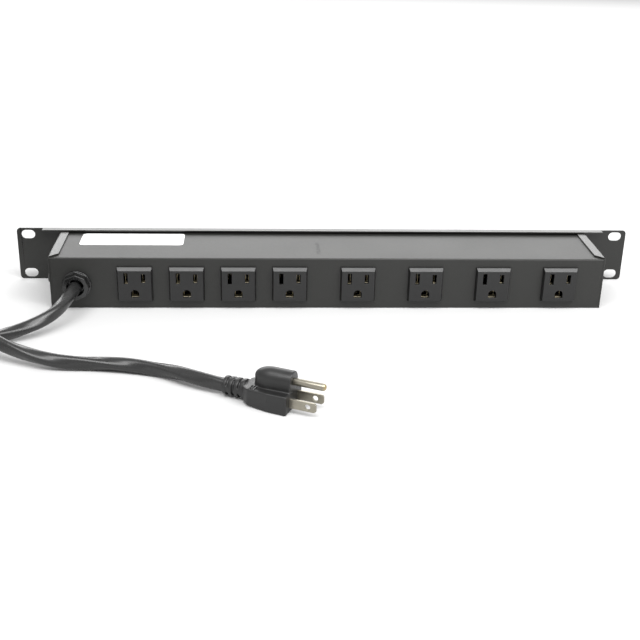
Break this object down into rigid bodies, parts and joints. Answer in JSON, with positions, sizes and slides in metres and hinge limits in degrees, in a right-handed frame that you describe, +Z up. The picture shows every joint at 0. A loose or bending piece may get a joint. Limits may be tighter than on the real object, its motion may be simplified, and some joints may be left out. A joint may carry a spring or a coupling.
{
  "type": "rack power strip",
  "caption": "Low rack-mount power strip: steel housing on a slotted 19-inch panel, grounded outlets along its rear wall, rocker switch, reset breaker and a plug-ended mains cord.",
  "frame": {"origin": "under the middle of the strip's own footprint, on the surface that it stands on; the cord and what is on it don't count", "axes": "+X along the strip, to the right as seen from the outlets; +Y out of the front panel, away from the outlets; +Z up"},
  "size_m": [0.6325, 0.2429, 0.042],
  "materials": {
    "black_powder_coat": "fine-textured black powder coat",
    "outlet_black": "moulded black thermoplastic",
    "bushing_black": "glossy black nylon",
    "cord_black": "satin black flexible jacket",
    "plug_black": "moulded black flexible plastic",
    "brass": "plain sheet brass",
    "nickel": "nickel-plated brass, drawn",
    "zinc_steel": "zinc-plated steel",
    "screw_black": "black oxide",
    "label_white": "white film",
    "control_black": "moulded black plastic",
    "tie_black": "woven hook-and-loop strap",
    "wire_black": "extruded insulation",
    "wire_white": "extruded insulation",
    "wire_green": "extruded insulation"
  },
  "bodies": {
    "base": {"front_panel": "black_powder_coat", "housing": "black_powder_coat", "end_plate_left": "black_powder_coat", "end_plate_right": "black_powder_coat", "panel_screws": "screw_black", "side_screws": "screw_black", "label": "label_white", "neutral_contacts": "brass", "line_contacts": "brass", "ground_contacts": "brass", "neutral_bus": "brass", "line_bus": "brass", "ground_bus": "brass", "gland_body": "bushing_black", "gland_wedge": "bushing_black", "switch_body": "control_black", "switch_tabs": "brass", "breaker_body": "control_black", "breaker_nut": "nickel", "breaker_tabs": "brass", "ground_stud": "zinc_steel", "ground_nut": "zinc_steel", "ring_terminal_supply": "nickel", "ring_terminal_outlets": "nickel", "cord_supply": "cord_black", "cord_coil": "cord_black", "cord_to_plug": "cord_black", "coil_tie": "tie_black", "plug_body": "plug_black", "plug_line_blade": "nickel", "plug_neutral_blade": "nickel", "plug_ground_pin": "nickel", "line_lead": "wire_black", "neutral_lead": "wire_white", "ground_lead": "wire_green", "switched_lead": "wire_black", "breaker_lead": "wire_black", "ground_jumper": "wire_green", "receptacle_1": "outlet_black", "receptacle_cap_1": "outlet_black", "receptacle_2": "outlet_black", "receptacle_cap_2": "outlet_black", "receptacle_3": "outlet_black", "receptacle_cap_3": "outlet_black", "receptacle_4": "outlet_black", "receptacle_cap_4": "outlet_black", "receptacle_5": "outlet_black", "receptacle_cap_5": "outlet_black", "receptacle_6": "outlet_black", "receptacle_cap_6": "outlet_black", "receptacle_7": "outlet_black", "receptacle_cap_7": "outlet_black", "receptacle_8": "outlet_black", "receptacle_cap_8": "outlet_black"},
    "rocker": {"switch_rocker": "control_black"},
    "reset_button": {"breaker_button": "control_black"}
  },
  "joints": [
    {"name": "rocker_tilt", "type": "hinge", "parent": "base", "child": "rocker", "pos_m": [-0.176, 0.0296, 0.021], "axis": [1, 0, 0], "range_deg": [-18, 0]},
    {"name": "reset_travel", "type": "slide", "parent": "base", "child": "reset_button", "axis": [0, 1, 0], "range_m": [0, 0.003]}
  ]
}
